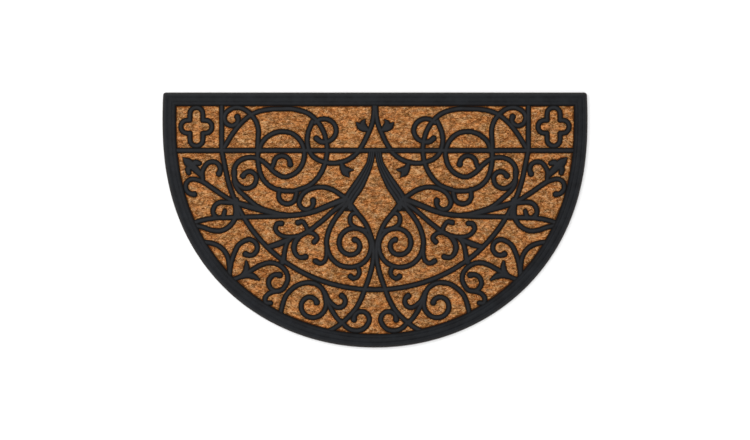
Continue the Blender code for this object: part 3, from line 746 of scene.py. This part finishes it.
def coir_finish(name, darkest, brightest):
    """Coir: dry matt fibre in golden browns, mottled tuft by tuft and strand by strand."""
    material, shader, add, join = new_finish(name)
    tree = material.node_tree
    place = add("TexCoord")
    stretch = add("Mapping")
    stretch.inputs["Scale"].default_value = (0.85, 1.9, 1.0)
    join(place, "Object", stretch, "Vector")

    tuft = add("TexNoise", Scale=190.0, Detail=3.0, Roughness=0.6, Distortion=1.6)
    join(stretch, "Vector", tuft, "Vector")
    patch = add("MapRange", From_Min=0.36, From_Max=0.615)
    join(tuft, "Fac", patch, "Value")
    strand = add("Attribute", attribute_name="strand_tone")
    blend = add("Mix", data_type="FLOAT")
    blend.inputs[0].default_value = 0.42
    tree.links.new(patch.outputs["Result"], blend.inputs[2])
    tree.links.new(strand.outputs["Fac"], blend.inputs[3])
    brown = add("ValToRGB")
    colour_steps(brown, [
        (0.05, tuple(c * darkest for c in (0.080, 0.024, 0.002))),
        (0.28, tuple(c * darkest for c in (0.230, 0.084, 0.009))),
        (0.50, (0.380, 0.170, 0.053)),
        (0.72, tuple(c * brightest for c in (0.54, 0.285, 0.118))),
        (0.95, tuple(c * brightest for c in (0.84, 0.56, 0.32))),
    ])
    tree.links.new(blend.outputs[0], brown.inputs["Fac"])

    # Some husks are redder and some yellower, and painted shade darkens the gaps between the
    # tufts.
    husk = add("TexNoise", Scale=85.0, Detail=2.0, Roughness=0.6)
    join(stretch, "Vector", husk, "Vector")
    tint = add("ValToRGB")
    colour_steps(tint, [(0.36, (1.14, 0.91, 0.70)), (0.64, (0.98, 1.05, 1.12))])
    join(husk, "Fac", tint, "Fac")
    tinted = add("Mix", data_type="RGBA", blend_type="MULTIPLY")
    tinted.inputs[0].default_value = 1.0
    tree.links.new(brown.outputs["Color"], tinted.inputs[6])
    tree.links.new(tint.outputs["Color"], tinted.inputs[7])
    gap = add("TexNoise", Scale=260.0, Detail=2.0, Roughness=0.6, Distortion=2.2)
    join(stretch, "Vector", gap, "Vector")
    gap_shade = add("MapRange", From_Min=0.53, From_Max=0.65, To_Max=0.9)
    join(gap, "Fac", gap_shade, "Value")
    gap_shaded = add("Mix", data_type="RGBA")
    tree.links.new(gap_shade.outputs["Result"], gap_shaded.inputs[0])
    tree.links.new(tinted.outputs[2], gap_shaded.inputs[6])
    gap_shaded.inputs[7].default_value = (0.090, 0.027, 0.003, 1)
    tree.links.new(gap_shaded.outputs[2], shader.inputs["Base Color"])
    shader.inputs["Roughness"].default_value = 0.85
    shader.inputs["Specular IOR Level"].default_value = 0.2

    grain = add("TexNoise", Scale=700.0, Detail=3.0, Roughness=0.6)
    join(stretch, "Vector", grain, "Vector")
    relief = add("Bump", Strength=0.8, Distance=0.5 * MM)
    join(grain, "Fac", relief, "Height")
    join(relief, "Normal", shader, "Normal")
    return material


def look_up(values, x, y):
    """The field's value nearest to each point."""
    i = np.clip(np.round((x - field_x[0]) / FIELD_STEP).astype(int), 0, len(field_x) - 1)
    j = np.clip(np.round((y - field_y[0]) / FIELD_STEP).astype(int), 0, len(field_y) - 1)
    return values[j, i]


pile_mesh = bpy.data.meshes.new("coir_pile")
pile_mesh.from_pydata((pile_points * MM).tolist(), [], pile_faces.tolist())
work = bmesh.new()
work.from_mesh(pile_mesh)
bmesh.ops.remove_doubles(work, verts=work.verts, dist=0.02 * MM)
rim_edges = [edge for edge in work.edges if len(edge.link_faces) == 1]
walls = bmesh.ops.extrude_edge_only(work, edges=rim_edges)["geom"]
for vertex in [part for part in walls if isinstance(part, bmesh.types.BMVert)]:
    vertex.co.z = PILE_FOOT * MM
foot_edges = [edge for edge in work.edges if len(edge.link_faces) == 1]
bmesh.ops.contextual_create(work, geom=foot_edges)
bmesh.ops.recalc_face_normals(work, faces=work.faces)
for face in work.faces:
    face.smooth = True
work.to_mesh(pile_mesh)
work.free()
# Painted shade: the coir is darkest next to the bars and the rim, where they press it down.
SHADE_START, SHADE_RUN = 0.2, 1.1
OPEN_TONE, SHADE_DARKER = 0.5, 1.6
pile_at = np.array([vertex.co for vertex in pile_mesh.vertices]) / MM
pile_clear = look_up(clear, pile_at[:, 0], pile_at[:, 1])
contact_shade = 1 - np.clip((pile_clear - SHADE_START) / SHADE_RUN, 0, 1)
add_values(pile_mesh, "strand_tone", OPEN_TONE - SHADE_DARKER * contact_shade)
# Painted shade: the pile under the loose strands gets a darker copy of the coir finish than the
# strands.
pile_mesh.materials.append(coir_finish("packed coir", 0.8, 0.9))
pile = bpy.data.objects.new("coir_pile", pile_mesh)
bpy.context.scene.collection.objects.link(pile)
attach(pile, "root")
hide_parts("coir_panel")

# The loose ends of the coir: stiff bent fibres that lie over one another in the openings,
# mostly along the mat, and short cut tips that stand up between them.


def open_places(count, least_clear):
    """Random places in the openings."""
    x = chance.uniform(field_x[0], field_x[-1], count * 4)
    y = chance.uniform(field_y[0], field_y[-1], count * 4)
    open_here = look_up(clear, x, y) > least_clear
    return x[open_here][:count], y[open_here][:count]


# Strands lie in locks of this many. Each is tried out from its middle both ways for room,
# and has three sides and five places along it, with a point at either end.
LOCK = 7
TRIES = 12
STRAND_CLEAR = 0.75
SHORTEST_STRAND = 2.0
STRAND_PLACES = 5
STRAND_POINTS = 11


def laid_strands(name, count, lift, thickness, tones, finish):
    """A mesh of bent, tapering, three-sided strands that lie on the pile in small locks."""
    lock_x, lock_y = open_places(count // LOCK, 1.1)
    locks = len(lock_x)
    count = locks * LOCK

    def each(values, spread):
        """A lock's own value for each of its strands, with a little spread."""
        return np.repeat(values, LOCK) + chance.normal(0, spread, count)

    heading = each(np.where(chance.random(locks) < 0.65, chance.normal(0, 0.42, locks),
                            chance.uniform(-pi / 2, pi / 2, locks)), 0.13)
    x, y = each(lock_x, 0.75), each(lock_y, 0.55)
    reach = each(chance.uniform(3.0, 6.5, locks), 0.6)
    sway = each(chance.normal(0, 0.6, locks), 0.1)
    phase = each(chance.uniform(0, 2 * pi, locks), 0.25)
    waves = each(chance.uniform(0.5, 1.1, locks), 0.05)
    arch = chance.uniform(0.1, 0.8, count)
    tone = np.clip(each(chance.uniform(*tones, locks), 0.1), 0, 1)

    def path(s):
        along = s * reach[:, None]
        aside = sway[:, None] * (np.sin(pi * waves[:, None] * s + phase[:, None])
                                 - np.sin(phase[:, None]))
        c, d = np.cos(heading)[:, None], np.sin(heading)[:, None]
        return x[:, None] + along * c - aside * d, y[:, None] + along * d + aside * c

    tries = np.tile(np.linspace(-1, 1, 2 * TRIES + 1), (count, 1))
    free = look_up(clear, *path(tries)) > STRAND_CLEAR
    ahead = np.cumprod(free[:, TRIES:], axis=1).sum(1) - 1
    behind = np.cumprod(free[:, TRIES::-1], axis=1).sum(1) - 1
    s_last, s_first = ahead / TRIES, -behind / TRIES
    long_enough = (s_last - s_first) * reach > SHORTEST_STRAND
    share = np.linspace(0, 1, STRAND_PLACES)[None, :]
    s = s_first[:, None] + (s_last - s_first)[:, None] * share
    px, py = path(s)
    hump = 4 * share * (1 - share)
    pz = (look_up(pile_height, px, py) - 0.3 + lift * np.minimum(1, hump * 1.6)
          + arch[:, None] * hump)
    line = np.stack([px, py, np.minimum(pz, BAR_CROWN - 0.3)], axis=2)[long_enough]
    count = len(line)
    radius = chance.uniform(*thickness, count)[:, None, None]
    forward = np.gradient(line, axis=1)
    forward /= np.linalg.norm(forward, axis=2, keepdims=True)
    aside = np.cross(forward, [0, 0, 1.0])
    aside /= np.linalg.norm(aside, axis=2, keepdims=True)
    upward = np.cross(aside, forward)
    rings_and_ends = [line[:, :1]]
    for k in (1, 2, 3):
        for turn in (0, 2 * pi / 3, 4 * pi / 3):
            edge = line + radius * (cos(turn) * upward + sin(turn) * aside)
            rings_and_ends.append(edge[:, k:k + 1])
    rings_and_ends.append(line[:, -1:])
    points = np.concatenate(rings_and_ends, axis=1)
    faces = []
    for k in range(3):
        faces.append((0, 1 + (k + 1) % 3, 1 + k))
        for level in (1, 4):
            a, b = level + k, level + (k + 1) % 3
            faces += [(a, b, b + 3), (a, b + 3, a + 3)]
        faces.append((7 + k, 7 + (k + 1) % 3, 10))
    faces = np.array(faces)[None] + STRAND_POINTS * np.arange(count)[:, None, None]
    return joined_fibres(name, points, faces, np.repeat(tone[long_enough], STRAND_POINTS), finish)


def joined_fibres(name, points, faces, tones, finish):
    """One object from many small closed fibres."""
    mesh = bpy.data.meshes.new(name)
    mesh.from_pydata((points.reshape(-1, 3) * MM).tolist(), [], faces.reshape(-1, 3).tolist())
    mesh.polygons.foreach_set("use_smooth", np.ones(len(mesh.polygons), dtype=bool))
    add_values(mesh, "strand_tone", tones)
    mesh.materials.append(finish)
    piece = bpy.data.objects.new(name, mesh)
    bpy.context.scene.collection.objects.link(piece)
    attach(piece, "root")
    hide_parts("coir_panel")
    return piece


TIP_POINTS = 7


def cut_tips(name, count, finish):
    """A mesh of short pointed stubs that stand up out of the pile."""
    x, y = open_places(count, 0.9)
    count = len(x)
    z = look_up(pile_height, x, y) - 0.5
    lean = chance.normal(0, 0.45, (count, 2))
    tall = chance.uniform(1.1, 2.0, count)
    wide = chance.uniform(0.16, 0.34, count)
    turn = chance.uniform(0, 2 * pi, count)
    foot = np.column_stack([x, y, z])
    points = []
    for share, size in ((0.0, 1.0), (0.6, 0.8)):
        centre = foot + np.column_stack([lean * tall[:, None] * share, tall * share])
        for k in range(3):
            a = turn + k * 2 * pi / 3
            points.append(centre + np.column_stack([np.cos(a), np.sin(a), 0 * a])
                          * (wide * size)[:, None])
    points.append(foot + np.column_stack([lean * tall[:, None] * 1.15, tall]))
    points = np.stack(points, axis=1)
    points[:, :, 2] = np.minimum(points[:, :, 2], BAR_CROWN - 0.2)
    faces = [(0, 2, 1)]
    for k in range(3):
        a, b = k, (k + 1) % 3
        faces += [(a, b, b + 3), (a, b + 3, a + 3), (a + 3, b + 3, 6)]
    faces = np.array(faces)[None] + TIP_POINTS * np.arange(count)[:, None, None]
    tones = np.repeat(chance.uniform(0.2, 0.95, count), TIP_POINTS)
    return joined_fibres(name, points, faces, tones, finish)


Layer = namedtuple("Layer", "name count lift thickness tones")
# Painted shade: lower layers get darker tones than the layers lying over them.
LAYERS = [
    Layer("coir_strands_low", 10500, 0.3, (0.14, 0.26), (0.0, 0.7)),
    Layer("coir_strands_middle", 10500, 0.6, (0.13, 0.25), (0.1, 0.9)),
    Layer("coir_strands_top", 9000, 0.9, (0.12, 0.23), (0.25, 1.0)),
]
strand_coir = coir_finish("coir strands", 0.9, 1.0)
loose_coir = [laid_strands(*layer, strand_coir) for layer in LAYERS]
loose_coir.append(cut_tips("coir_tips", 15000, strand_coir))

# The floor, the lamps and the camera: a pale floor, broad soft lamps on all sides, and a
# long lens straight above the middle of the mat.
FLOOR_SIZE = 6.0
FLOOR_BELOW = 0.2 * MM
FRAME_WIDTH = 1.3217
LENS, SENSOR = 85.0, 36.0

floor_mesh = bpy.data.meshes.new("floor")
edge = FLOOR_SIZE / 2
floor_mesh.from_pydata([(-edge, -edge, 0), (edge, -edge, 0), (edge, edge, 0), (-edge, edge, 0)],
                       [], [(0, 1, 2, 3)])
floor = bpy.data.objects.new("floor", floor_mesh)
floor.location.z = -FLOOR_BELOW
bpy.context.scene.collection.objects.link(floor)
paint, floor_shader, _, _ = new_finish("pale floor")
floor_shader.inputs["Base Color"].default_value = (0.9, 0.9, 0.9, 1)
floor_shader.inputs["Roughness"].default_value = 0.9
floor_shader.inputs["Specular IOR Level"].default_value = 0.1
floor_mesh.materials.append(paint)

Lamp = namedtuple("Lamp", "name place size energy aimed")
LAMPS = [
    Lamp("soft lamp 1", (-1.5, 1.3, 1.7), 1.3, 22.0, True),
    Lamp("soft lamp 2", (1.5, 1.3, 1.7), 1.3, 13.0, True),
    Lamp("soft lamp 3", (1.5, -1.3, 1.7), 1.3, 9.0, True),
    Lamp("soft lamp 4", (-1.5, -1.3, 1.7), 1.3, 16.0, True),
    Lamp("overhead lamp", (-0.45, 0.45, 4.2), 2.4, 95.0, False),
]
for lamp in LAMPS:
    light = bpy.data.lights.new(lamp.name, "AREA")
    light.shape = "SQUARE"
    light.size = lamp.size
    light.energy = lamp.energy
    stand = bpy.data.objects.new(lamp.name, light)
    stand.location = lamp.place
    if lamp.aimed:
        aim = -stand.location
        stand.rotation_euler = aim.to_track_quat("-Z", "Y").to_euler()
    bpy.context.scene.collection.objects.link(stand)

sky = bpy.data.worlds.new("studio")
sky.use_nodes = True
sky.node_tree.nodes["Background"].inputs["Color"].default_value = (1, 1, 1, 1)
sky.node_tree.nodes["Background"].inputs["Strength"].default_value = 0.3
bpy.context.scene.world = sky
bpy.context.scene.view_settings.view_transform = "Standard"

camera_data = bpy.data.cameras.new("camera")
camera_data.lens = LENS
camera_data.sensor_width = SENSOR
camera = bpy.data.objects.new("camera", camera_data)
camera.location = (0, 0, FRAME_WIDTH * LENS / SENSOR + solid_box[1][2])
bpy.context.scene.collection.objects.link(camera)
bpy.context.scene.camera = camera
